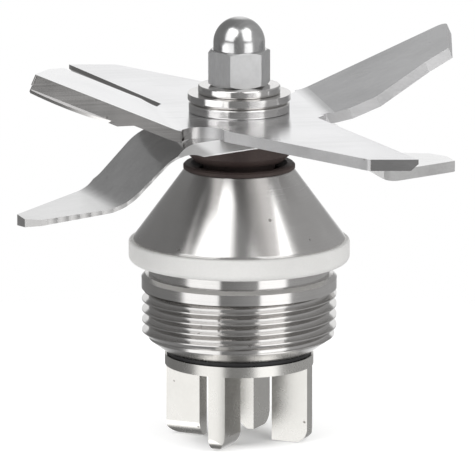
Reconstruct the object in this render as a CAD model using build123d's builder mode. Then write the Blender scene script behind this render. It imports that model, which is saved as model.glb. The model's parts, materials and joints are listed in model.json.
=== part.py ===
"""Blade assembly of a large countertop blender.

A turned housing screws up into the foot of a jar.  A shaft in two ball bearings
carries two bent blade sheets on top and a four-lug drive coupling below.
Millimetres, +Z up, origin on the shaft axis where the lugs stand; the front is -Y.
"""

import os
from math import acos, atan2, cos, degrees, hypot, pi, radians, sin, tan

from build123d import *

# Fits
RUN_GAP = 0.04  # radial clearance of pieces that turn against each other
SLIP_GAP = 0.02  # radial clearance of pieces fixed to each other
FACE_GAP = 0.12  # axial clearance between turning and fixed faces
TRIM = 2.0  # how far a cutting shape reaches past what it cuts

# Drive coupling
LUG_COUNT = 4
LUG_HEIGHT = 18.0
LUG_THICK = 4.1
LUG_INNER_R = 8.4
LUG_FIRST_DEG = 155.0
LUG_OFFSET = 2.2  # how far each lug stands to the left of its own radius
LUG_FOOT_ROUND = 3.4
LUG_RAMP_RISE = 5.2
LUG_RAMP_RUN = 2.4
LUG_RAMP_BOW = 0.3
COUPLING_R = 17.6
COUPLING_DISC = 2.5
BOSS_R = 8.0
BOSS_RISE = 4.5
COUPLING_WEB = 0.8  # between the screw head and the shaft's foot

# Housing
HOUSING_LIFT = 1.0  # gap under the housing, filled by the rubber ring
RING_CLEAR = 1.2
RING_SETBACK = 0.5
RING_SPIGOT = 1.2
FOOT_R = 17.6
FOOT_CHAMFER_RISE = 2.8
THREAD_R = 23.0
THREAD_DEPTH = 1.6
THREAD_PITCH = 2.5
THREAD_CREST = 0.25
THREAD_FLANK = 0.12  # share of the tooth foot taken by its upper flank
THREAD_FOOT = 0.92  # share of the pitch that a tooth's sunken foot covers
THREAD_SINK = 0.5
THREAD_RUN_OUT = 0.8  # rise of the chamfers at both thread ends, per depth
THREAD_TURN_DEG = 45.0  # where the thread starts, round the axis
THREAD_DROP = 2.1  # how far below the foot it starts, so that it runs in
THREAD_TOP_RISE = 14.9
BAND_R = 23.1
BAND_TOP_RISE = 18.3
BAND_CHAMFER = 0.9
NECK_R = 21.4
GASKET_R = 26.1
GASKET_THICK = 5.15
GASKET_RISE = 21.2
GASKET_LOWER_ROUND = 1.5
GASKET_UPPER_ROUND = 0.5
CONE_BASE_R = 25.0
CONE_TOP_R = 12.75
CONE_HEIGHT = 17.2
CONE_LAND = 0.5
CONE_EDGE_ROUND = 0.6

# Ball bearings, the same pair twice
SHAFT_R = 6.0
BEARING_R = 14.0
BEARING_WIDTH = 8.0
BALL_COUNT = 8
BALL_R = 2.3
BALL_GAP = 0.06
RACE_OPEN = 3.2  # clear width between the two races
CAGE_WALL = 1.1
CAGE_HEIGHT = 3.4
CAGE_CROWN = 0.9
CAGE_MOUTH = 0.78  # half width of a pocket's mouth, per ball radius
SHIELD_THICK = 0.3
SHIELD_INSET = 0.3
SHIELD_GAP = 0.2
LOWER_BEARING_RISE = 3.5
BEARING_SPACING = 14.0
SPACER_WALL = 2.0
CIRCLIP_THICK = 1.2
CIRCLIP_BITE = 0.9
CIRCLIP_WIDTH = 2.6
CIRCLIP_OPENING = 5.0

# Shaft seals
SEAL_SHAFT_R = 6.5
SEAL_R = 11.0
SEAL_HEIGHT = 6.8
SEAL_LEDGE = 0.6
SEAL_LEDGE_WIDTH = 1.4
SEAL_MOUTH = 1.6
SEAL_CASE_WALL = 0.8
LIP_WALL = 1.0
LIP_LEAD = 0.5
LIP_FOOT = 0.4
LIP_THROAT = 1.4
LIP_RELIEF = 0.8
LIP_ROOT = 1.2
GARTER_R = 0.7
GARTER_RISE = 2.0
RIM_SEAL_R = 13.2
RIM_SEAL_RISE = 1.1
RIM_SEAL_FLOOR = 0.7
RIM_SEAL_WALL = 1.2
RIM_BEVEL = 0.4
RIM_MOUTH = 1.6
RIM_FLOOR_CLEAR = 0.8
V_RING_R = 12.4
V_RING_HEIGHT = 3.4
V_RING_BEVEL = 1.8
V_RING_SKIRT = 1.9  # how far its sleeve reaches into the rim seal
V_RING_SKIRT_R = 8.4

# Stack of washers and blades on the shaft
SEAT_R = 8.6
SEAT_THICK = 2.9
SEAT_RISE = 5.3  # seat underside above the cone top
SHEET = 2.65
PILOT_R = 5.0
PILOT_FLATS = 8.0
STUD_R = 4.0
PILOT_SHORT = 0.6  # how far the flats end below the last washer
SHAFT_STEP = 0.3
DISC_R = 11.9
DISC_THICK = 2.15
CLAMP_R = 12.15
CLAMP_THICK = 2.3
CLAMP_LIP = 0.8
WASHER_R = 9.7
WASHER_THICK = 1.9
WASHER_ROUND = 0.35
WASHER_CLEAR = 0.2
NUT_FLATS = 13.0
NUT_HEX_HEIGHT = 8.5
NUT_DOME_R = 6.1
NUT_NECK = 1.55
NUT_TURN_DEG = 14.0
NUT_CHAMFER_DEG = 30.0
STUD_REACH = 11.0
STUD_TIP_CLEAR = 0.8
SCREW_R = 2.5
SCREW_HEAD_R = 4.4
SCREW_HEAD = 2.2
SCREW_REACH = 9.0
SCREW_SOCKET = 3.0
SCREW_SOCKET_DEPTH = 1.5
SCREW_TIP_CLEAR = 1.0

# Upper blade: two flat arms and two raised arms, plan positions of one side
NOTCH = (18.45, -8.7)
FLAT_TIP = (41.1, -59.5)
FLAT_CORNER = (29.7, -59.5)
FLAT_CORNER_ROUND = 1.6
FLAT_ROOT = (-3.5, -24.6)
RELIEF_CENTRE = (-8.4, -25.2)
RELIEF_R = 5.0
WING_TILT = 23.4
WING_AXIS_DEG = 191.0  # direction in which the left raised arm points
LEFT_FOLD = 18.4  # distance of each fold from the shaft axis
RIGHT_FOLD = 19.25
WING_BEND_R = 9.0
WING_LEAD = 23.0  # leading edge, across the arm from its axis
WING_TRAIL = 13.8
WING_NOTCH = 8.1  # how far across the root reaches on the trailing side
WING_ROOT = 4.0
WING_SLIT = 2.8  # where the left trailing edge leaves the flat arm beside it
RIGHT_SLIT = (5.0, -12.2)  # the right trailing edge swings out to here
WING_REACH = 38.9
WING_TIP_ROUND = 2.4
LEFT_TIP_ROUND = 0.5
RIGHT_TIP_TRAIL = (33.7, -0.5)  # the right tip is ground back along its trailing side
RIGHT_TIP_TURN = (26.9, -3.3)
RIGHT_TIP_START = (12.0, -13.0)
LEFT_REACH = 37.3
LEFT_TIP_TURN = (29.8, 1.3)  # the left tip is ground back from the leading corner
LEFT_TIP_TRAIL = 23.0
LIP_THICK = 0.7
LIP_WIDTH = 1.6
LIP_TIP_SHARE = 0.4
LIP_DROOP = 13.0
LIP_DROP = 1.6  # how far the ground leading wall reaches below the sheet
LIP_RUN_IN = 3.6
LIP_START = 14.4
LIP_SINK = 0.8
EDGE_GRIND = 1.6  # bevel under the outer edge of each flat arm

# Lower blade: two arms that drop and level out, with scalloped leading edges
DROP_AXIS_DEG = 198.0
DROP_FOLD = 22.6
DROP_ANGLE = 46.0
DROP_DEPTH = 13.7
DROP_TIP_FALL = 4.9
DROP_FOLD_R = 13.0
DROP_BEND_R = 12.0
DROP_GRIND = 14.0  # across the arm, where the ground leading side begins
DROP_GRIND_END = 27.8
DROP_GRIND_R = 8.0  # hollow of the grinding under the fold
DROP_ROOT = 16.9  # along the arm, where it leaves the flat hub plate
DROP_WAIST = 0.12  # ground thickness over the bends
DROP_TIP_EDGE = 1.2  # ground thickness at the tip
DROP_BEVEL = 3.5  # width of the bevel on top of the leading edge, beside the hub
DROP_LAND = 0.25
DROP_REACH = 59.0
DROP_LEAD = 24.0
DROP_LEAD_ROOT = 27.6
DROP_TRAIL = 3.7
DROP_TRAIL_STEP = 1.0
DROP_TIP_TRAIL = 14.6
DROP_TIP_CLIP = 3.2
SCALLOP_PITCH = 2.7
SCALLOP_R = 4.2
SCALLOP_DEPTH = 0.22
HUB_R = 18.0

# Levels, worked out from the foot upward
DISC_Z = LUG_HEIGHT
DISC_TOP_Z = DISC_Z + COUPLING_DISC
FOOT_Z = DISC_TOP_Z + HOUSING_LIFT
THREAD_TOP_Z = FOOT_Z + THREAD_TOP_RISE
BAND_TOP_Z = FOOT_Z + BAND_TOP_RISE
GASKET_Z = FOOT_Z + GASKET_RISE
CONE_Z = GASKET_Z + GASKET_THICK + SLIP_GAP
CONE_TOP_Z = CONE_Z + CONE_HEIGHT
LOWER_BEARING_Z = FOOT_Z + LOWER_BEARING_RISE
UPPER_BEARING_Z = LOWER_BEARING_Z + BEARING_WIDTH + BEARING_SPACING
SHOULDER_Z = UPPER_BEARING_Z + BEARING_WIDTH
SEAL_Z = SHOULDER_Z + SEAL_LEDGE
RIM_FLOOR_Z = SEAL_Z + SEAL_HEIGHT + SLIP_GAP
SEAT_Z = CONE_TOP_Z + SEAT_RISE
LOWER_SHEET_Z = SEAT_Z + SEAT_THICK
UPPER_SHEET_Z = LOWER_SHEET_Z + SHEET
DISC_STACK_Z = UPPER_SHEET_Z + SHEET
CLAMP_Z = DISC_STACK_Z + DISC_THICK
WASHER_Z = CLAMP_Z + CLAMP_THICK
NUT_Z = WASHER_Z + WASHER_THICK
NUT_TOP_Z = NUT_Z + NUT_HEX_HEIGHT + NUT_NECK + NUT_DOME_R

os.makedirs("parts", exist_ok=True)


def save(piece, name):
    """Label one finished piece and write its file."""
    piece.part.label = name
    export_step(piece.part, f"parts/{name}.step")


def ring_profile(inner, outer, bottom, top):
    """Add the rectangle of a ring's section to the sketch at hand on Plane.XZ."""
    with Locations(((inner + outer) / 2, (bottom + top) / 2)):
        Rectangle(outer - inner, top - bottom)


def turned(points):
    """Make a solid of revolution about Z from a closed outline of (radius, height) points."""
    with BuildPart() as piece:
        with BuildSketch(Plane.XZ):
            with BuildLine():
                Polyline(*points, close=True)
            make_face()
        revolve(axis=Axis.Z)
    return piece


def plan_point(along, across, heading):
    """Plan position at a distance along a heading and across it to the left."""
    a = radians(heading)
    return (along * cos(a) - across * sin(a), along * sin(a) + across * cos(a))


# Drive coupling with four lugs, and the screw that holds it to the shaft
BORE_FLOOR_Z = DISC_Z + SCREW_HEAD + COUPLING_WEB
with BuildPart() as lug:
    with BuildSketch(Plane.XY):
        Circle(COUPLING_R)
        with Locations((LUG_INNER_R, LUG_OFFSET)):
            Rectangle(COUPLING_R, LUG_THICK, align=(Align.MIN, Align.CENTER), mode=Mode.INTERSECT)
    extrude(amount=DISC_Z)
    with BuildSketch(Plane.YZ):
        with BuildLine():
            lug_side = LUG_OFFSET + LUG_THICK / 2
            ramp_foot = lug_side - LUG_RAMP_RUN
            ramp_bow = (lug_side - LUG_RAMP_RUN * LUG_RAMP_BOW, LUG_RAMP_RISE * LUG_RAMP_BOW)
            ThreePointArc((ramp_foot, 0), ramp_bow, (lug_side, LUG_RAMP_RISE))
            Polyline(
                (lug_side, LUG_RAMP_RISE),
                (lug_side + TRIM, LUG_RAMP_RISE),
                (lug_side + TRIM, -TRIM),
                (ramp_foot, -TRIM),
                (ramp_foot, 0),
            )
        make_face()
    extrude(amount=COUPLING_R + TRIM, mode=Mode.SUBTRACT)
    with BuildSketch(Plane.XZ):
        with BuildLine():
            corner_r = COUPLING_R - LUG_FOOT_ROUND
            RadiusArc((COUPLING_R, LUG_FOOT_ROUND), (corner_r, 0), LUG_FOOT_ROUND)
            Polyline(
                (corner_r, 0),
                (corner_r, -TRIM),
                (COUPLING_R + TRIM, -TRIM),
                (COUPLING_R + TRIM, LUG_FOOT_ROUND),
                (COUPLING_R, LUG_FOOT_ROUND),
            )
        make_face()
    extrude(amount=LUG_OFFSET + LUG_THICK, both=True, mode=Mode.SUBTRACT)

with BuildPart() as drive_coupling:
    with BuildSketch(Plane.XY.offset(DISC_Z)):
        Circle(COUPLING_R)
    extrude(amount=COUPLING_DISC)
    with BuildSketch(Plane.XY.offset(DISC_TOP_Z)):
        Circle(BOSS_R)
    extrude(amount=BOSS_RISE)
    with PolarLocations(0, LUG_COUNT, start_angle=LUG_FIRST_DEG):
        add(lug.part)
    with BuildSketch(Plane.XY.offset(DISC_Z)):
        Circle(SCREW_HEAD_R + SLIP_GAP)
    extrude(amount=SCREW_HEAD, mode=Mode.SUBTRACT)
    with BuildSketch(Plane.XY.offset(DISC_Z)):
        Circle(SCREW_R + SLIP_GAP)
    extrude(amount=BOSS_RISE, mode=Mode.SUBTRACT)
    with BuildSketch(Plane.XY.offset(BORE_FLOOR_Z)):
        Circle(PILOT_R + SLIP_GAP)
        Rectangle(4 * PILOT_R, PILOT_FLATS + 2 * SLIP_GAP, mode=Mode.INTERSECT)
    extrude(amount=2 * BOSS_RISE, mode=Mode.SUBTRACT)
save(drive_coupling, "drive_coupling")

with BuildPart() as coupling_screw:
    with BuildSketch(Plane.XY.offset(DISC_Z + SLIP_GAP)):
        Circle(SCREW_HEAD_R)
    extrude(amount=SCREW_HEAD - SLIP_GAP)
    with BuildSketch(Plane.XY.offset(DISC_Z + SCREW_HEAD)):
        Circle(SCREW_R)
    extrude(amount=SCREW_REACH)
    with BuildSketch(Plane.XY.offset(DISC_Z)):
        RegularPolygon(SCREW_SOCKET / 2, 6, major_radius=False)
    extrude(amount=SCREW_SOCKET_DEPTH, mode=Mode.SUBTRACT)
save(coupling_screw, "coupling_screw")

# Rubber ring under the housing, with a spigot pressed into its bore
ring_inner_r = BOSS_R + RING_CLEAR
ring_outer_r = COUPLING_R - RING_SETBACK
bottom_ring = turned(
    [
        (ring_inner_r, DISC_TOP_Z + FACE_GAP),
        (ring_outer_r, DISC_TOP_Z + FACE_GAP),
        (ring_outer_r, FOOT_Z),
        (BEARING_R - SLIP_GAP, FOOT_Z),
        (BEARING_R - SLIP_GAP, FOOT_Z + RING_SPIGOT),
        (ring_inner_r, FOOT_Z + RING_SPIGOT),
    ]
)
save(bottom_ring, "bottom_ring")

# Housing: chamfered foot, threaded barrel, neck and cone, bored for bearings and seals
thread_root_r = THREAD_R - THREAD_DEPTH
chamfer_top_z = FOOT_Z + FOOT_CHAMFER_RISE
CIRCLIP_Z = LOWER_BEARING_Z - CIRCLIP_THICK
thread_start_z = FOOT_Z - THREAD_DROP
run_out = THREAD_DEPTH * THREAD_RUN_OUT
with BuildPart() as thread:
    with BuildLine() as turns:
        climb = THREAD_TOP_Z + THREAD_PITCH - thread_start_z
        Helix(THREAD_PITCH, climb, thread_root_r, center=(0, 0, thread_start_z))
    foot = THREAD_PITCH * THREAD_FOOT / 2
    crest = foot - THREAD_FLANK * (2 * foot - THREAD_CREST)
    start = Plane(origin=(thread_root_r, 0, thread_start_z), x_dir=(1, 0, 0), z_dir=turns.line % 0)
    with BuildSketch(start):
        with BuildLine():
            Polyline(
                (-THREAD_SINK, foot),
                (THREAD_DEPTH, THREAD_CREST - crest),
                (THREAD_DEPTH, -crest),
                (-THREAD_SINK, -foot),
                close=True,
            )
        make_face()
    sweep(path=turns.line, is_frenet=True)
    with BuildSketch(Plane.XZ):
        with BuildLine():
            Polyline(
                (thread_root_r - THREAD_DEPTH, chamfer_top_z),
                (thread_root_r - THREAD_SINK / 2, chamfer_top_z),
                (THREAD_R + THREAD_SINK, chamfer_top_z + run_out),
                (THREAD_R + THREAD_SINK, THREAD_TOP_Z - run_out),
                (thread_root_r - THREAD_SINK / 2, THREAD_TOP_Z - SLIP_GAP),
                (thread_root_r - THREAD_DEPTH, THREAD_TOP_Z - SLIP_GAP),
                close=True,
            )
        make_face()
    revolve(axis=Axis.Z, mode=Mode.INTERSECT)

with BuildPart() as housing:
    with BuildSketch(Plane.XZ):
        with BuildLine():
            Polyline(
                (0, FOOT_Z),
                (FOOT_R, FOOT_Z),
                (thread_root_r, chamfer_top_z),
                (thread_root_r, THREAD_TOP_Z),
                (BAND_R, THREAD_TOP_Z),
                (BAND_R, BAND_TOP_Z - BAND_CHAMFER),
                (BAND_R - BAND_CHAMFER, BAND_TOP_Z),
                (NECK_R, BAND_TOP_Z),
                (NECK_R, CONE_Z),
                (CONE_BASE_R, CONE_Z),
                (CONE_BASE_R, CONE_Z + CONE_LAND),
                (CONE_TOP_R, CONE_TOP_Z),
                (0, CONE_TOP_Z),
                close=True,
            )
        make_face()
    revolve(axis=Axis.Z)
    widest = housing.edges().filter_by(GeomType.CIRCLE).sort_by(SortBy.RADIUS)[-2:]
    fillet(widest.sort_by(Axis.Z)[-1], CONE_EDGE_ROUND)
    add(thread.part, rotation=(0, 0, THREAD_TURN_DEG))
    with BuildSketch(Plane.XZ):
        ring_profile(0, BEARING_R + SLIP_GAP, FOOT_Z, SHOULDER_Z)
        ring_profile(0, BEARING_R + CIRCLIP_BITE + SLIP_GAP, CIRCLIP_Z - SLIP_GAP, LOWER_BEARING_Z)
        ring_profile(0, SEAL_R - SEAL_LEDGE_WIDTH, SHOULDER_Z, SEAL_Z)
        ring_profile(0, SEAL_R + SLIP_GAP, SEAL_Z, CONE_TOP_Z)
    revolve(axis=Axis.Z, mode=Mode.SUBTRACT)
save(housing, "bearing_housing")

# White jar gasket under the cone
with BuildPart() as jar_gasket:
    with BuildSketch(Plane.XZ):
        ring_profile(NECK_R + SLIP_GAP, GASKET_R, GASKET_Z, GASKET_Z + GASKET_THICK)
    revolve(axis=Axis.Z)
    outer_rims = jar_gasket.edges().filter_by(GeomType.CIRCLE).sort_by(SortBy.RADIUS)[-2:].sort_by(Axis.Z)
    fillet(outer_rims[0], GASKET_LOWER_ROUND)
    fillet(jar_gasket.edges().filter_by(GeomType.CIRCLE).sort_by(Axis.Z)[-1], GASKET_UPPER_ROUND)
save(jar_gasket, "jar_gasket")

# Bearings: races with ball grooves, balls, cage and a pair of thin shields
BALL_PITCH_R = (SHAFT_R + BEARING_R) / 2
INNER_RACE_R = BALL_PITCH_R - RACE_OPEN / 2
OUTER_RACE_BORE = BALL_PITCH_R + RACE_OPEN / 2


def groove(middle_z):
    """Cut the ball groove at a height from the ring at hand."""
    with BuildSketch(Plane.XZ) as section:
        with Locations((BALL_PITCH_R, middle_z)):
            Circle(BALL_R + BALL_GAP)
    revolve(section.sketch, axis=Axis.Z, mode=Mode.SUBTRACT)


for level, bearing_z in (("lower", LOWER_BEARING_Z), ("upper", UPPER_BEARING_Z)):
    top_z = bearing_z + BEARING_WIDTH
    middle_z = bearing_z + BEARING_WIDTH / 2
    with BuildPart() as inner_race:
        with BuildSketch(Plane.XZ):
            ring_profile(SHAFT_R + SLIP_GAP, INNER_RACE_R, bearing_z, top_z)
        revolve(axis=Axis.Z)
        groove(middle_z)
    save(inner_race, f"{level}_inner_race")
    with BuildPart() as outer_race:
        with BuildSketch(Plane.XZ):
            ring_profile(OUTER_RACE_BORE, BEARING_R, bearing_z, top_z)
        revolve(axis=Axis.Z)
        groove(middle_z)
    save(outer_race, f"{level}_outer_race")
    with BuildPart() as balls:
        with Locations((0, 0, middle_z)):
            with PolarLocations(BALL_PITCH_R, BALL_COUNT):
                Sphere(BALL_R)
    save(balls, f"{level}_balls")
    with BuildPart() as cage:
        with BuildSketch(Plane.XZ):
            ring_profile(
                BALL_PITCH_R - CAGE_WALL / 2,
                BALL_PITCH_R + CAGE_WALL / 2,
                middle_z - CAGE_HEIGHT / 2,
                middle_z + CAGE_HEIGHT / 2 + CAGE_CROWN,
            )
        revolve(axis=Axis.Z)
        with Locations((0, 0, middle_z)):
            with PolarLocations(BALL_PITCH_R, BALL_COUNT):
                Sphere(BALL_R + BALL_GAP, mode=Mode.SUBTRACT)
        with BuildSketch(Plane.XY.offset(bearing_z)):
            with PolarLocations(BALL_PITCH_R, BALL_COUNT):
                Rectangle(2 * BALL_R, 2 * BALL_R * CAGE_MOUTH)
        extrude(amount=BEARING_WIDTH / 2, mode=Mode.SUBTRACT)
    save(cage, f"{level}_cage")
    with BuildPart() as shields:
        with BuildSketch(Plane.XZ):
            for low in (bearing_z + SHIELD_INSET, top_z - SHIELD_INSET - SHIELD_THICK):
                ring_profile(INNER_RACE_R + SHIELD_GAP, OUTER_RACE_BORE, low, low + SHIELD_THICK)
        revolve(axis=Axis.Z)
    save(shields, f"{level}_shields")

# Spacer tubes between the bearings, and the ring that keeps the stack in its bore
SPACER_Z = LOWER_BEARING_Z + BEARING_WIDTH
for name, inner, outer in (
    ("inner_spacer", SHAFT_R + SLIP_GAP, SHAFT_R + SPACER_WALL),
    ("outer_spacer", BEARING_R - SPACER_WALL, BEARING_R),
):
    with BuildPart() as spacer:
        with BuildSketch(Plane.XZ):
            ring_profile(inner, outer, SPACER_Z, SPACER_Z + BEARING_SPACING)
        revolve(axis=Axis.Z)
    save(spacer, name)

CIRCLIP_INNER_R = BEARING_R + CIRCLIP_BITE - CIRCLIP_WIDTH
with BuildPart() as housing_circlip:
    with BuildSketch(Plane.XY.offset(CIRCLIP_Z)):
        Circle(BEARING_R + CIRCLIP_BITE)
        Circle(CIRCLIP_INNER_R, mode=Mode.SUBTRACT)
        with Locations((0, -BEARING_R)):
            Rectangle(CIRCLIP_OPENING, 3 * CIRCLIP_WIDTH, mode=Mode.SUBTRACT)
    extrude(amount=CIRCLIP_THICK - SLIP_GAP)
save(housing_circlip, "housing_circlip")

# Lip seal: pressed steel case, rubber lip and the garter spring round it
case_inner = SEAL_R - SEAL_CASE_WALL
SEAL_TOP_Z = SEAL_Z + SEAL_HEIGHT
seal_case = turned(
    [
        (SEAL_SHAFT_R + SEAL_MOUTH, SEAL_TOP_Z - SEAL_CASE_WALL),
        (case_inner, SEAL_TOP_Z - SEAL_CASE_WALL),
        (case_inner, SEAL_Z),
        (SEAL_R, SEAL_Z),
        (SEAL_R, SEAL_TOP_Z),
        (SEAL_SHAFT_R + SEAL_MOUTH, SEAL_TOP_Z),
    ]
)
save(seal_case, "seal_case")

lip_r = SEAL_SHAFT_R + RUN_GAP
garter_z = SEAL_Z + GARTER_RISE
garter_ring_r = lip_r + LIP_WALL + GARTER_R
lip_back_r = lip_r + LIP_WALL + LIP_LEAD
lip_top_z = SEAL_TOP_Z - SEAL_CASE_WALL
with BuildPart() as seal_lip:
    with BuildSketch(Plane.XZ):
        with BuildLine():
            Polyline(
                (lip_r + LIP_RELIEF, lip_top_z),
                (lip_r + LIP_RELIEF, garter_z + LIP_THROAT),
                (lip_r, garter_z),
                (lip_r + LIP_LEAD, SEAL_Z + LIP_FOOT),
                (lip_back_r, SEAL_Z + LIP_FOOT),
                (lip_back_r, lip_top_z - LIP_ROOT),
                (case_inner, lip_top_z - LIP_ROOT),
                (case_inner, lip_top_z),
                close=True,
            )
        make_face()
        with Locations((garter_ring_r, garter_z)):
            Circle(GARTER_R + SLIP_GAP, mode=Mode.SUBTRACT)
    revolve(axis=Axis.Z)
save(seal_lip, "seal_lip")

with BuildPart() as garter_spring:
    with BuildSketch(Plane.XZ):
        with Locations((garter_ring_r, garter_z)):
            Circle(GARTER_R)
    revolve(axis=Axis.Z)
save(garter_spring, "garter_spring")

# Brown rim seal on the cone top, a cup round the shaft with an outer flange
rim_cup_r = SEAL_R - RIM_SEAL_WALL
rim_floor_r = SEAL_SHAFT_R + RIM_FLOOR_CLEAR
rim_top_z = CONE_TOP_Z + RIM_SEAL_RISE
rim_seal = turned(
    [
        (rim_floor_r, RIM_FLOOR_Z),
        (SEAL_R - SLIP_GAP, RIM_FLOOR_Z),
        (SEAL_R - SLIP_GAP, CONE_TOP_Z),
        (RIM_SEAL_R, CONE_TOP_Z),
        (RIM_SEAL_R, rim_top_z - RIM_BEVEL),
        (RIM_SEAL_R - RIM_BEVEL, rim_top_z),
        (rim_cup_r + RIM_MOUTH, rim_top_z),
        (rim_cup_r, rim_top_z - RIM_MOUTH),
        (rim_cup_r, RIM_FLOOR_Z + RIM_SEAL_FLOOR),
        (rim_floor_r, RIM_FLOOR_Z + RIM_SEAL_FLOOR),
    ]
)
save(rim_seal, "rim_seal")

# Brown collar that turns with the shaft, wraps its seat flange and throws liquid off
v_ring_z = SEAT_Z - V_RING_HEIGHT
v_ring_top_z = LOWER_SHEET_Z - FACE_GAP
v_ring = turned(
    [
        (SEAL_SHAFT_R + SLIP_GAP, v_ring_z - V_RING_SKIRT),
        (V_RING_SKIRT_R, v_ring_z - V_RING_SKIRT),
        (V_RING_SKIRT_R, v_ring_z),
        (V_RING_R - V_RING_BEVEL, v_ring_z),
        (V_RING_R, v_ring_z + V_RING_BEVEL),
        (V_RING_R, v_ring_top_z),
        (SEAT_R + SLIP_GAP, v_ring_top_z),
        (SEAT_R + SLIP_GAP, SEAT_Z),
        (SEAL_SHAFT_R + SLIP_GAP, SEAT_Z),
    ]
)
save(v_ring, "v_ring")

# Shaft: flatted ends, bearing journal, seal journal, blade seat and stud
SHAFT_FOOT_Z = BORE_FLOOR_Z + FACE_GAP
PILOT_TOP_Z = WASHER_Z - PILOT_SHORT
with BuildPart() as drive_shaft:
    with BuildSketch(Plane.XY.offset(SHAFT_FOOT_Z)):
        Circle(PILOT_R)
        Rectangle(4 * PILOT_R, PILOT_FLATS, mode=Mode.INTERSECT)
    extrude(amount=LOWER_BEARING_Z + SHAFT_STEP - SHAFT_FOOT_Z)
    with BuildSketch(Plane.XZ):
        ring_profile(0, SHAFT_R, LOWER_BEARING_Z + SHAFT_STEP, SHOULDER_Z)
        ring_profile(0, SEAL_SHAFT_R, SHOULDER_Z, SEAT_Z)
        ring_profile(0, SEAT_R, SEAT_Z, LOWER_SHEET_Z)
        ring_profile(0, STUD_R, LOWER_SHEET_Z, NUT_Z + STUD_REACH)
    revolve(axis=Axis.Z)
    with BuildSketch(Plane.XY.offset(LOWER_SHEET_Z)):
        Circle(PILOT_R)
        Rectangle(4 * PILOT_R, PILOT_FLATS, mode=Mode.INTERSECT)
    extrude(amount=PILOT_TOP_Z - LOWER_SHEET_Z)
    with BuildSketch(Plane.XY.offset(SHAFT_FOOT_Z)):
        Circle(SCREW_R + SLIP_GAP)
    extrude(amount=SCREW_REACH + SCREW_TIP_CLEAR, mode=Mode.SUBTRACT)
save(drive_shaft, "drive_shaft")


def pilot_hole(bottom_z, height):
    """Cut the flatted hole for the shaft through the piece at hand."""
    with BuildSketch(Plane.XY.offset(bottom_z)) as hole:
        Circle(PILOT_R + SLIP_GAP)
        Rectangle(4 * PILOT_R, PILOT_FLATS + 2 * SLIP_GAP, mode=Mode.INTERSECT)
    extrude(hole.sketch, amount=height, mode=Mode.SUBTRACT)


def opposite(point):
    """The plan point half a turn away."""
    return (-point[0], -point[1])


# Upper blade
UPPER_TOP_Z = DISC_STACK_Z


def wing_frame(heading, distance):
    """Planes of one raised arm: its section along the heading, and its tilted face."""
    a = radians(heading)
    out = Vector(cos(a), sin(a), 0)
    side = Vector(sin(a), -cos(a), 0)
    up = Vector(0, 0, 1)
    fold = out * distance + up * UPPER_TOP_Z
    tilt = radians(WING_TILT)
    rising = out * cos(tilt) + up * sin(tilt)
    normal = up * cos(tilt) - out * sin(tilt)
    section = Plane(origin=fold, x_dir=out, z_dir=side)
    face = Plane(origin=fold, x_dir=rising, z_dir=normal)
    return section, face


def wing(heading, distance, outline, tip, tip_round):
    """Raised arm: a bent strip of sheet trimmed by its outline on the tilted face."""
    section, face = wing_frame(heading, distance)
    tilt = radians(WING_TILT)
    reach = WING_REACH + WING_ROOT
    under_fold = (SHEET * tan(tilt / 2), -SHEET)
    with BuildPart() as arm:
        with BuildSketch(section) as profile:
            with BuildLine():
                Polyline(
                    (-WING_ROOT, 0),
                    (0, 0),
                    (reach * cos(tilt), reach * sin(tilt)),
                    (reach * cos(tilt) + SHEET * sin(tilt), reach * sin(tilt) - SHEET * cos(tilt)),
                    under_fold,
                    (-WING_ROOT, -SHEET),
                    close=True,
                )
            make_face()
            fillet(profile.vertices().sort_by_distance((0, 0))[0], WING_BEND_R)
            fillet(profile.vertices().sort_by_distance(under_fold)[0], WING_BEND_R + SHEET)
        extrude(amount=2 * WING_LEAD, both=True)
        with BuildSketch(face) as trim:
            with BuildLine():
                Polyline(*outline, close=True)
            make_face()
            fillet(trim.vertices().sort_by_distance(tip)[0], tip_round)
        extrude(amount=2 * WING_REACH, both=True, mode=Mode.INTERSECT)
    return arm.part


def lip(heading, distance, tip_along):
    """Ground wall under the leading edge of a raised arm, with a thin lip that swells in a bow."""
    _, face = wing_frame(heading, distance)
    lead = Plane(origin=face.from_local_coords((0, WING_LEAD, 0)), x_dir=face.x_dir, z_dir=-face.y_dir)
    bottom = face.offset(-SHEET - LIP_DROP)
    edge = bottom.from_local_coords((0, WING_LEAD, 0))
    droop = radians(LIP_DROOP)
    outward = bottom.y_dir * cos(droop) - bottom.z_dir * sin(droop)
    flap = Plane(origin=edge, x_dir=bottom.x_dir, z_dir=bottom.x_dir.cross(outward))
    with BuildPart() as flange:
        with BuildSketch(lead):
            with BuildLine():
                Polyline(
                    (LIP_START - LIP_RUN_IN, -SHEET),
                    (LIP_START, -SHEET - LIP_DROP),
                    (tip_along, -SHEET - LIP_DROP),
                    (tip_along, LIP_SINK - SHEET),
                    (LIP_START - LIP_RUN_IN, LIP_SINK - SHEET),
                    close=True,
                )
            make_face()
        extrude(amount=LIP_SINK)
        with BuildSketch(flap):
            with BuildLine():
                start = (LIP_START, -LIP_SINK)
                middle = ((LIP_START + tip_along) / 2, LIP_WIDTH)
                end = (tip_along, LIP_WIDTH * LIP_TIP_SHARE)
                Line((tip_along, -LIP_SINK), start)
                ThreePointArc(start, middle, end)
                Line(end, (tip_along, -LIP_SINK))
            make_face()
        extrude(amount=LIP_THICK)
    return flange.part


wing_root = [
    (0, -WING_NOTCH),
    (-WING_ROOT, -WING_NOTCH),
    (-WING_ROOT, WING_LEAD),
]
right_tip = (WING_REACH, WING_LEAD)
right_outline = [right_tip, RIGHT_TIP_TRAIL, RIGHT_TIP_TURN, RIGHT_TIP_START, RIGHT_SLIT, *wing_root]
left_tip = (LEFT_REACH, WING_LEAD)
left_trail = [(LEFT_TIP_TRAIL, -WING_TRAIL), (WING_SLIT, -WING_TRAIL)]
left_outline = [left_tip, LEFT_TIP_TURN, *left_trail, *wing_root]


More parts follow.
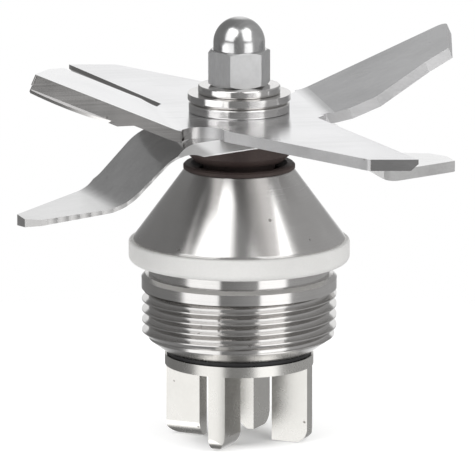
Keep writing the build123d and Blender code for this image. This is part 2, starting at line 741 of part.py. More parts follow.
def fold_corners(heading, distance):
    """Plan positions where a fold meets the two sides of its raised arm."""
    return [plan_point(distance, -WING_NOTCH, heading), plan_point(distance, WING_LEAD, heading)]


with BuildPart() as upper_blade:
    with BuildSketch(Plane.XY.offset(UPPER_SHEET_Z)) as plate:
        half = [FLAT_ROOT, FLAT_CORNER, FLAT_TIP, NOTCH]
        with BuildLine():
            Polyline(
                *half,
                *fold_corners(WING_AXIS_DEG + 180, RIGHT_FOLD),
                *(opposite(p) for p in half),
                *fold_corners(WING_AXIS_DEG, LEFT_FOLD),
                close=True,
            )
        make_face()
        for corner in (FLAT_CORNER, opposite(FLAT_CORNER)):
            vertex = plate.vertices().sort_by_distance(corner)[0]
            fillet(vertex, FLAT_CORNER_ROUND)
    extrude(amount=SHEET)
    edge_middle = ((FLAT_TIP[0] + NOTCH[0]) / 2, (FLAT_TIP[1] + NOTCH[1]) / 2)
    for middle in (edge_middle, opposite(edge_middle)):
        chamfer(upper_blade.edges().sort_by_distance((*middle, UPPER_SHEET_Z))[0], EDGE_GRIND)
    add(wing(WING_AXIS_DEG, LEFT_FOLD, left_outline, left_tip, LEFT_TIP_ROUND))
    add(wing(WING_AXIS_DEG + 180, RIGHT_FOLD, right_outline, right_tip, WING_TIP_ROUND))
    add(lip(WING_AXIS_DEG, LEFT_FOLD, LEFT_REACH - LEFT_TIP_ROUND))
    add(lip(WING_AXIS_DEG + 180, RIGHT_FOLD, WING_REACH - WING_TIP_ROUND))
    with BuildSketch(Plane.XY.offset(UPPER_SHEET_Z - TRIM)):
        with Locations(RELIEF_CENTRE, opposite(RELIEF_CENTRE)):
            Circle(RELIEF_R)
    extrude(amount=SHEET + 2 * TRIM, mode=Mode.SUBTRACT)
    pilot_hole(UPPER_SHEET_Z, SHEET)
save(upper_blade, "upper_blade")

# Lower blade
LOWER_TOP_Z = UPPER_SHEET_Z


# The leading edge leaves the round hub along a tangent and runs to the fold
hub_turn = atan2(DROP_LEAD_ROOT, DROP_FOLD) + acos(HUB_R / hypot(DROP_FOLD, DROP_LEAD_ROOT))
drop_hub = (HUB_R * cos(hub_turn), HUB_R * sin(hub_turn))


def drop_lead(along):
    """Point of the leading edge between hub and fold, at a distance along the arm."""
    share = (along - drop_hub[0]) / (DROP_FOLD - drop_hub[0])
    return (along, drop_hub[1] + (DROP_LEAD_ROOT - drop_hub[1]) * share)


def drop_profile(plane, waist, tip, under_r):
    """Section along a lower arm, on a plane, ground to waist over the bends and to tip at its end."""
    drop, fall = radians(DROP_ANGLE), radians(DROP_TIP_FALL)
    level_s = DROP_FOLD + DROP_DEPTH / tan(drop)
    end_s = DROP_REACH + SHEET
    end_z = -DROP_DEPTH - (end_s - level_s) * tan(fall)
    bend = waist * tan((drop - fall) / 2)
    under_fold = (DROP_FOLD - waist * tan(drop / 2), -waist)
    under_bend = (
        level_s - waist * sin(fall) - bend * cos(fall),
        -DROP_DEPTH - waist * cos(fall) + bend * sin(fall),
    )
    with BuildSketch(plane) as profile:
        with BuildLine():
            Polyline(
                (DROP_ROOT, 0),
                (DROP_FOLD, 0),
                (level_s, -DROP_DEPTH),
                (end_s, end_z),
                (end_s - tip * sin(fall), end_z - tip * cos(fall)),
                under_bend,
                under_fold,
                (DROP_ROOT, -SHEET),
                close=True,
            )
        make_face()
        for corner, bend_r in (
            ((DROP_FOLD, 0), DROP_FOLD_R),
            (under_fold, under_r),
            ((level_s, -DROP_DEPTH), DROP_BEND_R),
            (under_bend, DROP_BEND_R + waist),
        ):
            fillet(profile.vertices().sort_by_distance(corner)[0], bend_r)
    return profile.sketch


def drop_arm(heading):
    """Lower arm: a strip bent down and levelled out, ground thin along a scalloped edge."""
    a = radians(heading)
    out = Vector(cos(a), sin(a), 0)
    side = Vector(sin(a), -cos(a), 0)
    section = Plane(origin=(0, 0, LOWER_TOP_Z), x_dir=out, z_dir=side)
    level_s = DROP_FOLD + DROP_DEPTH / tan(radians(DROP_ANGLE))
    with BuildPart() as arm:
        grind_start = section.offset(-DROP_GRIND)
        full = drop_profile(grind_start, SHEET, SHEET, DROP_FOLD_R - SHEET)
        extrude(full, amount=DROP_GRIND + 2 * DROP_TRAIL)
        edge = drop_profile(section.offset(-DROP_GRIND_END), DROP_WAIST, DROP_TIP_EDGE, DROP_GRIND_R)
        loft([full.face(), edge.face()], ruled=True)
        with BuildSketch(Plane(origin=(0, 0, 0), x_dir=out, z_dir=(0, 0, 1))):
            with BuildLine():
                Polyline(
                    drop_hub,
                    (DROP_FOLD, DROP_LEAD_ROOT),
                    (level_s, DROP_LEAD),
                    (DROP_REACH - DROP_TIP_CLIP, DROP_LEAD),
                    (DROP_REACH, DROP_LEAD - DROP_TIP_CLIP),
                    (DROP_REACH, DROP_TIP_TRAIL),
                    (level_s + DROP_TRAIL_STEP, 2 * DROP_TRAIL_STEP - DROP_TRAIL),
                    (level_s - DROP_TRAIL_STEP, -DROP_TRAIL),
                    (0, -DROP_TRAIL),
                    close=True,
                )
            make_face()
        extrude(amount=LOWER_TOP_Z + SHEET, mode=Mode.INTERSECT)
        slope_lead = hypot(level_s - DROP_FOLD, DROP_LEAD_ROOT - DROP_LEAD)
        slope_turn = degrees(atan2(DROP_LEAD - DROP_LEAD_ROOT, level_s - DROP_FOLD))
        scallop_out = SCALLOP_R - SCALLOP_DEPTH
        scallops = []
        for step in range(int((DROP_REACH - DROP_TIP_CLIP - level_s) / SCALLOP_PITCH)):
            along = level_s + (step + 0.5) * SCALLOP_PITCH
            scallops.append((along, DROP_LEAD + scallop_out))
        for step in range(int(slope_lead / SCALLOP_PITCH) + 2):
            along = (step + 0.5) * SCALLOP_PITCH
            x = level_s - along * cos(radians(slope_turn))
            scallops.append((x, DROP_LEAD - along * sin(radians(slope_turn)) + scallop_out))
        with BuildSketch(Plane(origin=(0, 0, 0), x_dir=out, z_dir=(0, 0, 1))):
            with Locations(*scallops):
                Circle(SCALLOP_R)
        extrude(amount=LOWER_TOP_Z + SHEET, mode=Mode.SUBTRACT)
    return arm.part


def root_bevel(heading):
    """Wedge above the bevel that is ground on an arm's leading edge beside the hub."""
    start = Vector(*plan_point(*drop_hub, heading), LOWER_SHEET_Z + DROP_LAND)
    fold = Vector(*plan_point(DROP_FOLD, DROP_LEAD_ROOT, heading), LOWER_SHEET_Z + DROP_LAND)
    along = (fold - start).normalized()
    outward = Vector(-along.Y, along.X, 0)
    rise = SHEET - DROP_LAND
    reach = 1 + TRIM / rise
    with BuildPart() as wedge:
        with BuildSketch(Plane(origin=start, x_dir=outward, z_dir=along)):
            with BuildLine():
                Polyline(
                    (0, 0),
                    (TRIM, 0),
                    (TRIM, rise * reach),
                    (-DROP_BEVEL * reach, rise * reach),
                    close=True,
                )
            make_face()
        extrude(amount=(fold - start).length + 2 * TRIM)
    return wedge.part


drop_root = [drop_hub, drop_lead(DROP_ROOT), (DROP_ROOT, -DROP_TRAIL), (0, -DROP_TRAIL)]
with BuildPart() as lower_blade:
    with BuildSketch(Plane.XY.offset(LOWER_SHEET_Z)):
        Circle(HUB_R)
        for heading in (DROP_AXIS_DEG, DROP_AXIS_DEG + 180):
            with BuildLine():
                Polyline(*(plan_point(along, across, heading) for along, across in drop_root), close=True)
            make_face()
    extrude(amount=SHEET)
    add(drop_arm(DROP_AXIS_DEG))
    add(drop_arm(DROP_AXIS_DEG + 180))
    add(root_bevel(DROP_AXIS_DEG), mode=Mode.SUBTRACT)
    add(root_bevel(DROP_AXIS_DEG + 180), mode=Mode.SUBTRACT)
    pilot_hole(LOWER_SHEET_Z, SHEET)
save(lower_blade, "lower_blade")

# Discs and washers clamped between the blades and the nut
with BuildPart() as spacer_disc:
    with BuildSketch(Plane.XY.offset(DISC_STACK_Z)):
        Circle(DISC_R)
    extrude(amount=DISC_THICK)
    pilot_hole(DISC_STACK_Z, DISC_THICK)
    fillet(spacer_disc.edges().filter_by(GeomType.CIRCLE).sort_by(SortBy.RADIUS)[-2:], WASHER_ROUND)
save(spacer_disc, "spacer_disc")

with BuildPart() as clamp_washer:
    with BuildSketch(Plane.XY.offset(CLAMP_Z)):
        Circle(CLAMP_R)
        Circle(PILOT_R + WASHER_CLEAR, mode=Mode.SUBTRACT)
    extrude(amount=CLAMP_THICK)
    rims = clamp_washer.edges().filter_by(GeomType.CIRCLE).sort_by(SortBy.RADIUS)[-2:].sort_by(Axis.Z)
    chamfer(rims[0], CLAMP_LIP)
    fillet(clamp_washer.edges().filter_by(GeomType.CIRCLE).sort_by(Axis.Z)[-1], WASHER_ROUND)
save(clamp_washer, "clamp_washer")

with BuildPart() as flat_washer:
    with BuildSketch(Plane.XY.offset(WASHER_Z)):
        Circle(WASHER_R)
        Circle(STUD_R + WASHER_CLEAR, mode=Mode.SUBTRACT)
    extrude(amount=WASHER_THICK)
    fillet(flat_washer.edges().filter_by(GeomType.CIRCLE).sort_by(SortBy.RADIUS)[-2:], WASHER_ROUND)
save(flat_washer, "flat_washer")

# Cap nut: chamfered hexagon, short neck, round dome and a blind hole for the stud
dome_z = NUT_TOP_Z - NUT_DOME_R
hex_corner_r = NUT_FLATS / 2 / cos(pi / 6)
hex_top_z = NUT_Z + NUT_HEX_HEIGHT
hex_chamfer = (hex_corner_r - NUT_FLATS / 2) * tan(radians(NUT_CHAMFER_DEG))
with BuildPart() as cap_nut:
    with BuildSketch(Plane.XY.offset(NUT_Z)):
        RegularPolygon(NUT_FLATS / 2, 6, major_radius=False, rotation=NUT_TURN_DEG)
    extrude(amount=NUT_HEX_HEIGHT)
    with BuildSketch(Plane.XZ):
        with BuildLine():
            Polyline(
                (0, NUT_Z),
                (NUT_FLATS / 2, NUT_Z),
                (hex_corner_r, NUT_Z + hex_chamfer),
                (hex_corner_r, hex_top_z - hex_chamfer),
                (NUT_FLATS / 2, hex_top_z),
                (0, hex_top_z),
                close=True,
            )
        make_face()
    revolve(axis=Axis.Z, mode=Mode.INTERSECT)
    with BuildSketch(Plane.XZ):
        with BuildLine():
            Line((0, hex_top_z), (NUT_DOME_R, hex_top_z))
            Line((NUT_DOME_R, hex_top_z), (NUT_DOME_R, dome_z))
            RadiusArc((NUT_DOME_R, dome_z), (0, NUT_TOP_Z), -NUT_DOME_R)
            Line((0, NUT_TOP_Z), (0, hex_top_z))
        make_face()
    revolve(axis=Axis.Z)
    with BuildSketch(Plane.XY.offset(NUT_Z)):
        Circle(STUD_R + SLIP_GAP)
    extrude(amount=STUD_REACH + STUD_TIP_CLEAR, mode=Mode.SUBTRACT)
save(cap_nut, "cap_nut")
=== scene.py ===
"""Studio picture of a blender's blade unit: finishes, light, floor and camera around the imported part."""
import json
from math import cos, pi, radians, sin

import bmesh
import bpy
from mathutils import Matrix, Vector


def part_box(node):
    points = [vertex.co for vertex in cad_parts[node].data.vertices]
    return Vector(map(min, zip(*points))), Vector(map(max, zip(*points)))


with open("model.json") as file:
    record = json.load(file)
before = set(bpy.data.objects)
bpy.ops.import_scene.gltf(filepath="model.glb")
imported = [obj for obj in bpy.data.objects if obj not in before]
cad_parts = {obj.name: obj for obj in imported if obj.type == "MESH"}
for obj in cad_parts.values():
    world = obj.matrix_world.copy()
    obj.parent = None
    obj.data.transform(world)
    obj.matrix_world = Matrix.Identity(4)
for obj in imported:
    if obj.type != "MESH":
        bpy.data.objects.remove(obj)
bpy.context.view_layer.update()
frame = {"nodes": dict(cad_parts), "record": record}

AIM = Vector((-0.0004, 0.0, 0.0492))
LENS_RISE = radians(11.6)
LENS_DISTANCE = 2.2
LENS_FOCAL = 706.5
LENS_SENSOR = 36.0
LENS_REACH = 20.0

SOFTBOX_RANGE = 0.8
SOFTBOX_RISE = radians(40)
SOFTBOX_HEIGHT = 0.75
SOFTBOX_GLOW = 1.5
SOFTBOXES = {
    "left": {"turn": radians(-46), "lean": 0.0, "width": 0.64},
    "right": {"turn": radians(44), "lean": radians(-12), "width": 0.54},
}

ROOM_GLOW = 0.8
WALL_TONES = (0.24, 0.46)  # far left and far right, as the steel mirrors them
SHEET_TONE = 0.72
STRIP_TONE = 1.3
# Ways in which the steel sees each bright field: where it starts, is full, fades and ends.
SHEET_MIDDLE = 0.03
SHEET_ACROSS = (0.31, 0.02)
SHEET_BEHIND = (0.6, 0.85)
GROUND_DOWN = (-0.45, -0.7)
GROUND_FRONT = (-0.05, -0.25)
GROUND_ACROSS = (0.12, 0.3)
STRIP_FRONT = (0.0, -0.15)
STRIP_RISE = (0.5, 0.7, 0.9, 0.96)
STRIP_DROP = (0.1, 0.02)
STRIPS_ABOVE = ((-0.64, -0.56, -0.12, -0.06), (0.33, 0.4, 0.68, 0.76))
STRIPS_BELOW = ((-0.95, -0.89, -0.43, -0.37), (0.38, 0.44, 0.84, 0.9))

WHITE = (1.0, 1.0, 1.0)
FLOOR_PAINT = (0.93, 0.93, 0.93)
FLOOR_R = 0.17
FLOOR_FADE = 0.07
FLOOR_Z = -0.0002
FLOOR_SIDES = 96
FLOOR_LIFT = 0.3
# painted shadow: inside these radii the floor gets less lift, so it stays darker under the part
FLOOR_PAINTED_SHADOW = (0.006, 0.015)  # the lift starts at the first radius and is full at the second

WING_AXIS = radians(191)
DROP_AXIS = radians(198)
RUB_AXIS = 0.7
WING_ROOT_X = (-0.012, -0.006)
END_FACE_X = (0.0297, 0.0305)
END_FACE_Y = (0.0575, 0.0585)
LEFT_ARM_X = (-0.01, -0.02)
UPPER_EDGE_TILT = (0.75, 0.35)
UNDERSIDE_TILT = (-0.4, -0.7)
LOWER_EDGE_TILT = (0.5, 0.25)
LOWER_SIDE_TILT = (0.08, 0.3)
HUB_R = 0.027
HEX_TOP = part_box("cap_nut")[0][2] + 0.0085
CONE_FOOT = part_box("jar_gasket")[1][2]
ABOVE_ALL = 1.0
BELOW_ALL = 0.0
SATIN_BLEND = 0.0002

TURNING_STREAK = 0.85
QUARTER_TURN = 0.25
PIT_DIRT = (0.2, 0.19, 0.18)
CASTING_DIRT = (0.2, 0.18, 0.16)
# colour of the blade spots and of the painted shade on the blade edges
SPOT_AND_PAINTED_SHADE_STEEL = (0.35, 0.34, 0.33)
# colour of the painted light on the lower blade's edges beside the hub
PAINTED_LIGHT_STEEL = (0.95, 0.95, 0.95)


class Value:
    """A node's output that takes part in arithmetic."""

    def __init__(self, nodes, socket):
        self.nodes = nodes
        self.socket = socket

    def math(self, operation, first, second=0.0):
        return self.nodes.add("ShaderNodeMath", {"operation": operation}, {0: first, 1: second})

    def __add__(self, other):
        return self.math("ADD", self, other)

    def __radd__(self, other):
        return self.math("ADD", other, self)

    def __sub__(self, other):
        return self.math("SUBTRACT", self, other)

    def __rsub__(self, other):
        return self.math("SUBTRACT", other, self)

    def __mul__(self, other):
        return self.math("MULTIPLY", self, other)

    def __rmul__(self, other):
        return self.math("MULTIPLY", other, self)

    def __pow__(self, other):
        return self.math("POWER", self, other)

    def __abs__(self):
        return self.math("ABSOLUTE", self)

    def step(self, low, high, start=0.0, end=1.0):
        """A smooth rise from start to end while this value goes from low to high."""
        settings = {"interpolation_type": "SMOOTHSTEP", "clamp": True}
        sockets = {"Value": self, "From Min": low, "From Max": high, "To Min": start, "To Max": end}
        return self.nodes.add("ShaderNodeMapRange", settings, sockets)

    def band(self, start, full, fading, end):
        """1 from full to fading, and smoothly down to 0 at start and at end."""
        return self.step(start, full) * self.step(end, fading)


class Nodes:
    """A node tree and the one method that adds to it."""

    def __init__(self, tree):
        self.tree = tree
        tree.nodes.clear()

    def add(self, kind, settings=(), sockets=(), out=0):
        node = self.tree.nodes.new(kind)
        for name, setting in dict(settings).items():
            setattr(node, name, setting)
        for key, entry in dict(sockets).items():
            if isinstance(entry, Value):
                self.tree.links.new(entry.socket, node.inputs[key])
            else:
                node.inputs[key].default_value = entry
        if len(node.outputs) == 0:
            return None
        return Value(self, node.outputs[out])

    def parts(self, vector):
        """The three coordinates of a vector."""
        split = self.add("ShaderNodeSeparateXYZ", (), {0: vector})
        return [Value(self, split.socket.node.outputs[axis]) for axis in range(3)]

    def place(self):
        """Object coordinates, as a vector."""
        return self.add("ShaderNodeTexCoord", out="Object")

    def slope(self):
        """The three coordinates of the way that the surface faces."""
        return self.parts(self.add("ShaderNodeTexCoord", out="Normal"))

    def turned_place(self, angle, stretch):
        """Object coordinates turned about the shaft so that x runs along angle, then stretched."""
        sockets = {"Vector": self.place(), "Rotation": (0, 0, -angle)}
        turned = self.add("ShaderNodeMapping", {"vector_type": "POINT"}, sockets)
        return self.add("ShaderNodeVectorMath", {"operation": "MULTIPLY"}, {0: turned, 1: stretch})

    def noise(self, vector, scale, detail):
        sockets = {"Vector": vector, "Scale": scale, "Detail": detail}
        return self.add("ShaderNodeTexNoise", {"noise_dimensions": "3D"}, sockets)

    def lines(self, along, detail):
        """Noise that changes along one value only, so it makes lines across it."""
        sockets = {"W": along, "Scale": 1.0, "Detail": detail}
        return self.add("ShaderNodeTexNoise", {"noise_dimensions": "1D"}, sockets)

    def pits(self, scale, share, size):
        """Small round spots, 1 at their middle, in a share of the cells of a grid of that scale."""
        sockets = {"Vector": self.place(), "Scale": scale, "Randomness": 1.0}
        cell = self.add("ShaderNodeTexVoronoi", {"feature": "F1"}, sockets, out="Distance")
        colour = Value(self, cell.socket.node.outputs["Color"])
        red = self.add("ShaderNodeSeparateColor", (), {0: colour})
        chosen = red.step(share, share * 0.9)
        return chosen * cell.step(size, size * 0.35)

    def blend(self, factor, first, second):
        """A colour between two colours."""
        settings = {"data_type": "RGBA", "blend_type": "MIX"}
        return self.add("ShaderNodeMix", settings, {0: factor, 6: first, 7: second}, out=2)

    def mottle(self, mix, dark, light):
        """A colour that goes from dark to light with the middle of a noise's range."""
        return self.blend(mix.step(0.3, 0.7), rgb(dark), rgb(light))

    def bump(self, height, depth):
        return self.add("ShaderNodeBump", (), {"Height": height, "Distance": depth, "Strength": 1.0})

    def surface(self, **sockets):
        """The finish's shader, joined to the output."""
        named = {name.replace("_", " "): entry for name, entry in sockets.items()}
        shader = self.add("ShaderNodeBsdfPrincipled", (), named)
        self.add("ShaderNodeOutputMaterial", (), {"Surface": shader})


def finish(name):
    """A new material and its empty tree."""
    material = bpy.data.materials.new(name)
    material.use_nodes = True
    return material, Nodes(material.node_tree)


def rgb(colour):
    """A colour with full alpha."""
    return (*colour, 1.0)


def turned_steel(name, light, dark, gloss, marks, satin_above=ABOVE_ALL):
    """Steel off the lathe: fine rings round the shaft, smears, a few pits, and satin above a height."""
    material, nodes = finish(name)
    x, y, z = nodes.parts(nodes.place())
    satin = z.step(satin_above - SATIN_BLEND, satin_above + SATIN_BLEND)
    along = z * 1.3 - (x * x + y * y) ** 0.5
    fine_rings = nodes.lines(along * 9000.0, detail=2.0)
    broad_rings = nodes.lines(along * 2200.0, detail=1.0)
    rings = fine_rings * 0.6 + broad_rings * 0.4
    smear = nodes.noise(nodes.place(), scale=90.0, detail=3.0)
    pit = nodes.pits(scale=420.0, share=0.045, size=0.24)
    bare = nodes.mottle(rings * 0.5 + smear * 0.5, dark, light)
    nodes.surface(
        Base_Color=nodes.blend(pit * 0.7, bare, rgb(PIT_DIRT)),
        Metallic=1.0,
        Roughness=gloss + (rings - 0.5) * 0.1 + (smear - 0.5) * 0.1 + pit * 0.2 + satin * 0.08,
        Normal=nodes.bump(rings - pit * 1.5, marks),
        Anisotropic=TURNING_STREAK,
        Anisotropic_Rotation=QUARTER_TURN,
    )
    return material


def upper_blade_edges(nodes):
    """Matt cut edges right of the left arm's root; painted shade on the end faces, the left leading wall,
    the underside and the cut edges.
    """
    x, y = nodes.parts(nodes.place())[:2]
    upright = nodes.slope()[2]
    edge = abs(upright).step(*UPPER_EDGE_TILT)
    end_face = abs(x).step(*END_FACE_X) * abs(y).step(*END_FACE_Y)
    cut = edge * x.step(*WING_ROOT_X) * (1.0 - end_face)
    underside = upright.step(*UNDERSIDE_TILT)
    # painted shade: the end faces, the left leading wall, the underside and the cut edges are darkened in
    # the colour
    painted_shade = (edge - cut) * (0.85 - end_face * 0.35) + underside * 0.8 + cut * 0.3
    return cut, painted_shade, None


def lower_blade_edges(nodes):
    """Matt cut edges, smoother on the left arm; painted shade on the edges, darker on the left arm, and
    painted light on them beside the hub.
    """
    x, y = nodes.parts(nodes.place())[:2]
    slope = nodes.slope()
    across = slope[0] * -sin(DROP_AXIS) + slope[1] * cos(DROP_AXIS)
    side = abs(across).step(*LOWER_SIDE_TILT)
    edge = 1.0 - (1.0 - side) * (1.0 - abs(slope[2]).step(*LOWER_EDGE_TILT))
    # painted light: the cut edges beside the hub are lightened in the colour
    painted_light = edge * (x * x + y * y).step(HUB_R ** 2 * 1.2, HUB_R ** 2)
    left = x.step(*LEFT_ARM_X)
    cut = edge * (1.0 - left * 0.35)
    # painted shade: the cut edges are darkened in the colour, more on the left arm
    painted_shade = (edge - painted_light) * (0.3 + left * 0.25)
    return cut, painted_shade, painted_light


def ground_steel(name, axis, light, dark, gloss, edges):
    """Blade sheet, ground along its arms: fine scratches, soft smears, a few spots, and its own edges with
    painted shade and painted light in their colour.
    """
    material, nodes = finish(name)
    cut, painted_shade, painted_light = edges(nodes)
    hair = nodes.noise(nodes.turned_place(axis, (14.0, 2600.0, 2600.0)), scale=1.0, detail=2.0)
    streak = nodes.noise(nodes.turned_place(axis, (5.0, 420.0, 420.0)), scale=1.0, detail=2.0)
    smear = nodes.noise(nodes.place(), scale=60.0, detail=3.0)
    spot = nodes.pits(scale=420.0, share=0.025, size=0.2)
    scratch = hair * 0.65 + streak * 0.35
    bare = nodes.mottle(scratch * 0.45 + smear * 0.55, dark, light)
    # real spots, and painted shade on the edges, blend towards the darker steel
    colour = nodes.blend(spot * 0.5 + painted_shade, bare, rgb(SPOT_AND_PAINTED_SHADE_STEEL))
    # painted light: the lower blade's edges beside the hub are lightened in the colour
    if painted_light is not None:
        colour = nodes.blend(painted_light, colour, rgb(PAINTED_LIGHT_STEEL))
    nodes.surface(
        Base_Color=colour,
        Metallic=1.0,
        Roughness=gloss + (scratch - 0.5) * 0.2 + (smear - 0.5) * 0.32 + cut * 0.45,
        Normal=nodes.bump(scratch - spot, depth=0.000012),
    )
    return material


def bright_steel(name, light, dark, gloss, satin_below=BELOW_ALL):
    """Polished steel with hairline scratches and thumb smears, satin below a height."""
    material, nodes = finish(name)
    height = nodes.parts(nodes.place())[2]
    satin = height.step(satin_below, satin_below - 2 * SATIN_BLEND)
    smear = nodes.noise(nodes.place(), scale=140.0, detail=4.0)
    hair = nodes.noise(nodes.turned_place(RUB_AXIS, (90.0, 1800.0, 600.0)), scale=1.0, detail=2.0)
    nodes.surface(
        Base_Color=nodes.mottle(smear * 0.6 + hair * 0.4, dark, light),
        Metallic=1.0,
        Roughness=gloss + (smear - 0.5) * 0.14 + (hair - 0.5) * 0.08 + satin * 0.22,
        Normal=nodes.bump(hair, depth=0.000006),
    )
    return material


def cast_steel(name, light, dark, gloss):
    """Investment-cast steel, blasted: a fine grain, a slow waviness and open pits."""
    material, nodes = finish(name)
    grain = nodes.noise(nodes.place(), scale=2600.0, detail=2.0)
    wave = nodes.noise(nodes.place(), scale=170.0, detail=3.0)
    pit = nodes.pits(scale=520.0, share=0.035, size=0.24)
    bare = nodes.mottle(wave * 0.7 + grain * 0.3, dark, light)
    nodes.surface(
        Base_Color=nodes.blend(pit * 0.75, bare, rgb(CASTING_DIRT)),
        Metallic=1.0,
        Roughness=gloss + (grain - 0.5) * 0.04 + (wave - 0.5) * 0.15 + pit * 0.2,
        Normal=nodes.bump(grain * 0.015 + wave * 0.5 - pit * 0.6, depth=0.00005),
    )
    return material


def moulded_rubber(name, light, dark, gloss, sheen):
    """Moulded rubber or silicone with a fine matt skin and rubbed patches."""
    material, nodes = finish(name)
    skin = nodes.noise(nodes.place(), scale=1900.0, detail=2.0)
    patch = nodes.noise(nodes.place(), scale=75.0, detail=4.0)
    nodes.surface(
        Base_Color=nodes.mottle(patch * 0.75 + skin * 0.25, dark, light),
        Roughness=gloss + (patch - 0.5) * 0.2,
        Normal=nodes.bump(skin * 0.5 + patch * 0.5, depth=0.00004),
        Specular_IOR_Level=sheen,
    )
    return material


FINISHES = {
    "housing_steel": turned_steel(
        "turned_housing_steel", light=(0.66, 0.65, 0.64), dark=(0.56, 0.55, 0.54), gloss=0.16,
        marks=0.000003, satin_above=CONE_FOOT,
    ),
    "washer_steel": turned_steel(
        "turned_washer_steel", light=(0.72, 0.71, 0.7), dark=(0.6, 0.59, 0.58), gloss=0.15,
        marks=0.000003,
    ),
    "shaft_steel": turned_steel(
        "turned_shaft_steel", light=(0.62, 0.62, 0.62), dark=(0.52, 0.52, 0.52), gloss=0.3,
        marks=0.000008,
    ),
    "nut_steel": bright_steel(
        "bright_nut_steel", light=(0.66, 0.66, 0.66), dark=(0.56, 0.56, 0.56), gloss=0.2,
        satin_below=HEX_TOP,
    ),
    "bearing_steel": bright_steel(
        "bright_bearing_steel", light=(0.7, 0.7, 0.72), dark=(0.6, 0.6, 0.62), gloss=0.12,
    ),
    "cage_steel": bright_steel(
        "pressed_cage_steel", light=(0.64, 0.63, 0.61), dark=(0.54, 0.53, 0.51), gloss=0.32,
    ),
    "coupling_steel": cast_steel(
        "cast_coupling_steel", light=(0.63, 0.62, 0.595), dark=(0.57, 0.56, 0.535), gloss=0.26,
    ),
    "gasket_white": moulded_rubber(
        "white_silicone", light=(0.76, 0.755, 0.74), dark=(0.7, 0.695, 0.68), gloss=0.5, sheen=0.3,
    ),
    "seal_brown": moulded_rubber(
        "brown_rubber", light=(0.07, 0.05, 0.045), dark=(0.045, 0.03, 0.028), gloss=0.55, sheen=0.3,
    ),
    "rubber_black": moulded_rubber(
        "black_rubber", light=(0.025, 0.025, 0.026), dark=(0.012, 0.012, 0.013), gloss=0.5, sheen=0.4,
    ),
}
BLADE_FINISHES = {
    "upper_blade": ground_steel(
        "ground_upper_blade", WING_AXIS, light=(0.84, 0.84, 0.85), dark=(0.66, 0.66, 0.67), gloss=0.18,
        edges=upper_blade_edges,
    ),
    "lower_blade": ground_steel(
        "ground_lower_blade", DROP_AXIS, light=(0.82, 0.82, 0.82), dark=(0.65, 0.65, 0.65), gloss=0.17,
        edges=lower_blade_edges,
    ),
}


def dress_nodes():
    """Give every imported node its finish, and keep the lower blade out of the cone's mirror image."""
    for entry in frame["record"]["subparts"]:
        node = frame["nodes"][entry["node"]]
        chosen = BLADE_FINISHES.get(entry["node"]) or FINISHES[entry["material_slot"]]
        node.data.materials.clear()
        node.data.materials.append(chosen)
    frame["nodes"]["lower_blade"].visible_glossy = False


def keep(name, content):
    """A new object of the scene that holds a mesh, a light or a camera."""
    made = bpy.data.objects.new(name, content)
    bpy.context.scene.collection.objects.link(made)
    return made


def facing(direction):
    """The turn that points a light or a camera along direction."""
    return direction.to_track_quat("-Z", "Y").to_matrix().to_4x4()


def make_floor():
    """A pale round floor that carries the shadow, with a painted shadow in the middle where it gets no
    lift, and fades out into the white.
    """
    work = bmesh.new()
    bmesh.ops.create_circle(work, cap_ends=True, segments=FLOOR_SIDES, radius=FLOOR_R)
    bmesh.ops.translate(work, vec=(0, 0, FLOOR_Z), verts=work.verts)
    mesh = bpy.data.meshes.new("floor")
    work.to_mesh(mesh)
    work.free()
    material, nodes = finish("pale_floor")
    x, y = nodes.parts(nodes.place())[:2]
    out = (x * x + y * y) ** 0.5
    camera = nodes.add("ShaderNodeLightPath", out="Is Camera Ray")
    paint = nodes.add("ShaderNodeBsdfDiffuse", (), {"Color": rgb(FLOOR_PAINT)})
    glow = nodes.add("ShaderNodeEmission", (), {"Color": rgb(WHITE), "Strength": FLOOR_LIFT})
    lifted = nodes.add("ShaderNodeAddShader", (), {0: paint, 1: glow})
    # painted shadow: no lift near the middle, so the floor under the part is darker
    lift = camera * out.step(*FLOOR_PAINTED_SHADOW)
    pale = nodes.add("ShaderNodeMixShader", (), {0: lift, 1: paint, 2: lifted})
    clear = nodes.add("ShaderNodeBsdfTransparent")
    faded = nodes.add("ShaderNodeMixShader", (), {0: out.step(FLOOR_FADE, FLOOR_R), 1: pale, 2: clear})
    nodes.add("ShaderNodeOutputMaterial", (), {"Surface": faded})
    mesh.materials.append(material)
    floor = keep("floor", mesh)
    floor.visible_glossy = False


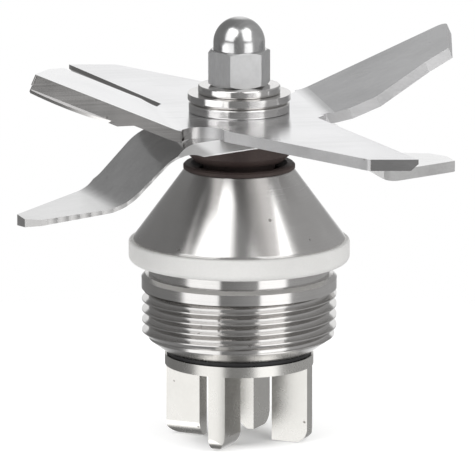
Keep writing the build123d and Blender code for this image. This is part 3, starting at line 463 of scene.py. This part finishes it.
def make_room():
    """The white background, and the studio that the steel mirrors: walls, sheet, ground and strips."""
    world = bpy.data.worlds.new("studio")
    world.use_nodes = True
    bpy.context.scene.world = world
    nodes = Nodes(world.node_tree)
    x, y, z = nodes.parts(nodes.add("ShaderNodeTexCoord", out="Generated"))
    walls = x.step(-0.5, 0.8, *WALL_TONES)
    sheet = abs(x - SHEET_MIDDLE).step(*SHEET_ACROSS) * y.step(*SHEET_BEHIND)
    ground = z.step(*GROUND_DOWN) * y.step(*GROUND_FRONT) * abs(x).step(*GROUND_ACROSS)
    above = z.band(*STRIP_RISE) * (x.band(*STRIPS_ABOVE[0]) + x.band(*STRIPS_ABOVE[1]))
    below = z.step(*STRIP_DROP) * (x.band(*STRIPS_BELOW[0]) + x.band(*STRIPS_BELOW[1]))
    strips = y.step(*STRIP_FRONT) * (above + below)
    mirrored = walls + ground + sheet * SHEET_TONE + strips * STRIP_TONE
    camera = nodes.add("ShaderNodeLightPath", out="Is Camera Ray")
    glossy = nodes.add("ShaderNodeLightPath", out="Is Glossy Ray")
    strength = camera + (1.0 - camera) * (glossy * mirrored + (1.0 - glossy) * ROOM_GLOW)
    glow = nodes.add("ShaderNodeBackground", (), {"Color": rgb(WHITE), "Strength": strength})
    nodes.add("ShaderNodeOutputWorld", (), {"Surface": glow})


def add_softbox(name, turn, lean, width):
    """A tall softbox in front of the part, turned to one side of the camera."""
    light = bpy.data.lights.new(name, "AREA")
    light.shape = "RECTANGLE"
    light.size = width
    light.size_y = SOFTBOX_HEIGHT
    light.energy = SOFTBOX_GLOW * pi * width * SOFTBOX_HEIGHT
    lamp = keep(name, light)
    lamp.visible_camera = False
    level = cos(SOFTBOX_RISE)
    away = Vector((level * sin(turn), -level * cos(turn), sin(SOFTBOX_RISE)))
    place = Matrix.Translation(AIM + away * SOFTBOX_RANGE)
    lamp.matrix_world = place @ facing(-away) @ Matrix.Rotation(lean, 4, "Z")


def add_camera():
    """The camera where the photographer stood."""
    view = bpy.data.cameras.new("camera")
    view.sensor_fit = "HORIZONTAL"
    view.sensor_width = LENS_SENSOR
    view.lens = LENS_FOCAL
    view.clip_end = LENS_REACH
    camera = keep("camera", view)
    ahead = Vector((0, cos(LENS_RISE), -sin(LENS_RISE)))
    camera.matrix_world = Matrix.Translation(AIM - ahead * LENS_DISTANCE) @ facing(ahead)
    bpy.context.scene.camera = camera


dress_nodes()
make_floor()
make_room()
for side, fit in SOFTBOXES.items():
    add_softbox("softbox_" + side, **fit)
add_camera()
bpy.context.scene.view_settings.view_transform = "Standard"
